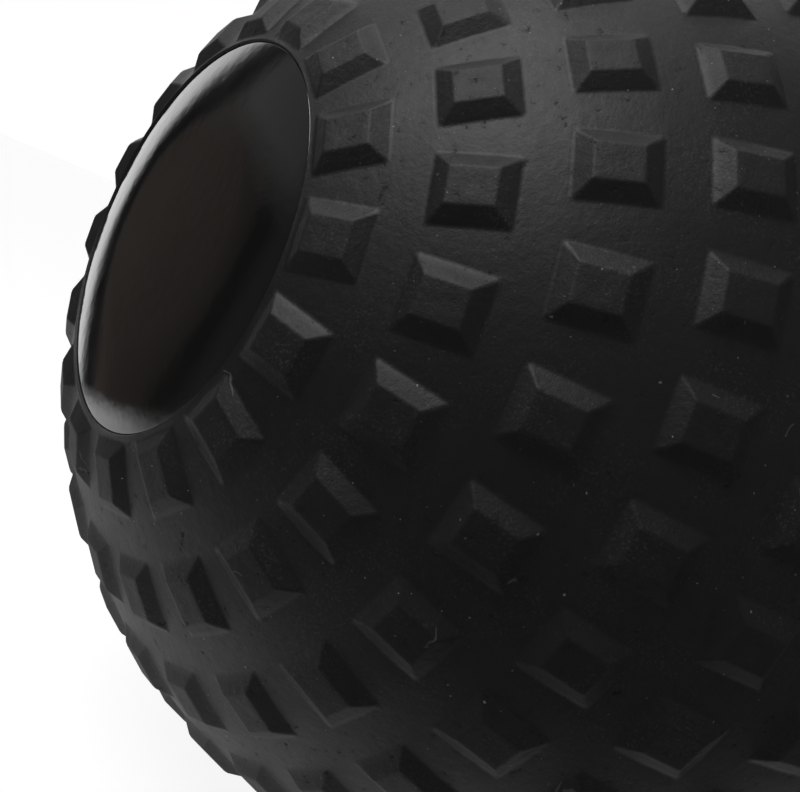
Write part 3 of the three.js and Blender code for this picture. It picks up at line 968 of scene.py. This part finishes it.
def studio_world(studio):
    """White to the camera, a room with a white wall to mirrors, and an even dim light to everything else"""
    world = bpy.data.worlds.new("studio")
    world.use_nodes = True
    tree = world.node_tree
    tree.nodes.clear()
    direction = add_node(tree, "ShaderNodeTexCoord").outputs["Generated"]
    turned_round = add_node(tree, "ShaderNodeVectorMath", {
        0: direction, 1: (-1, -1, 1)}, operation="MULTIPLY")
    axes = add_node(tree, "ShaderNodeSeparateXYZ", {"Vector": turned_round})
    bearing = add_node(tree, "ShaderNodeMath", {
        0: axes.outputs["Y"], 1: axes.outputs["X"]}, operation="ARCTAN2")
    leaning = add_node(tree, "ShaderNodeMath", {
        0: axes.outputs["Z"], 1: -ROOM_LEAN, 2: bearing}, operation="MULTIPLY_ADD")
    share = add_node(tree, "ShaderNodeMapRange", {
        "Value": leaning, "From Min": -math.pi, "From Max": math.pi})
    halves = []
    for stops in (ROOM_BELOW, ROOM_ABOVE):
        half = add_node(tree, "ShaderNodeValToRGB", {"Fac": share})
        fill_ramp(half.color_ramp, [(0.5 + degrees / 360, linear(code)) for degrees, code in stops])
        halves.append(half.outputs["Color"])
    height = add_node(tree, "ShaderNodeMapRange", {
        "Value": axes.outputs["Z"], "From Min": LINTEL[0], "From Max": LINTEL[1]})
    room = add_node(tree, "ShaderNodeMix", {
        "Factor": height, "A": halves[0], "B": halves[1]}, data_type="RGBA")
    seen = add_node(tree, "ShaderNodeLightPath")
    surround = (studio.surround, studio.surround, studio.surround, 1)
    mirrored = add_node(tree, "ShaderNodeMix", {
        "Factor": seen.outputs["Is Glossy Ray"], "A": surround, "B": room}, data_type="RGBA")
    colour_seen = add_node(tree, "ShaderNodeMix", {
        "Factor": seen.outputs["Is Camera Ray"], "A": mirrored, "B": (1, 1, 1, 1)}, data_type="RGBA")
    light = add_node(tree, "ShaderNodeBackground", {"Color": colour_seen})
    add_node(tree, "ShaderNodeOutputWorld", {"Surface": light})
    return world


class SLAM_BALL_OT_stage(bpy.types.Operator):
    """Set up the pale floor, the soft light and the camera"""
    bl_idname = "slam_ball.stage"
    bl_label = "Stage"

    def execute(self, context):
        studio = context.scene.slam_ball_studio
        camera = photo_camera(studio)
        floor = new_plane("floor", studio.floor_size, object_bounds()[0].z)
        floor.data.materials.append(pale_floor(studio))
        floor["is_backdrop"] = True
        key_light(studio, camera)
        context.scene.world = studio_world(studio)
        context.scene.view_settings.view_transform = "Standard"
        return {"FINISHED"}


class SLAM_BALL_PT_sidebar(bpy.types.Panel):
    """Sidebar with the steps that build the ball"""
    bl_idname = "SLAM_BALL_PT_sidebar"
    bl_label = "Slam ball"
    bl_space_type = "VIEW_3D"
    bl_region_type = "UI"
    bl_category = "Slam ball"

    def draw(self, context):
        for step in STEPS:
            self.layout.operator(step.bl_idname)


STEPS = (
    SLAM_BALL_OT_shells, SLAM_BALL_OT_panels, SLAM_BALL_OT_valve, SLAM_BALL_OT_filling, SLAM_BALL_OT_stage)
CLASSES = (BallSizes, BallFinish, Studio, *STEPS, SLAM_BALL_PT_sidebar)


def register():
    for cls in CLASSES:
        bpy.utils.register_class(cls)
    bpy.types.Scene.slam_ball_sizes = bpy.props.PointerProperty(type=BallSizes)
    bpy.types.Scene.slam_ball_finish = bpy.props.PointerProperty(type=BallFinish)
    bpy.types.Scene.slam_ball_studio = bpy.props.PointerProperty(type=Studio)


def unregister():
    del bpy.types.Scene.slam_ball_studio
    del bpy.types.Scene.slam_ball_finish
    del bpy.types.Scene.slam_ball_sizes
    for cls in reversed(CLASSES):
        bpy.utils.unregister_class(cls)


def main():
    register()
    bpy.ops.slam_ball.shells()
    bpy.ops.slam_ball.panels()
    bpy.ops.slam_ball.valve()
    bpy.ops.slam_ball.filling()
    bpy.ops.slam_ball.stage()


if __name__ == "__main__":
    main()
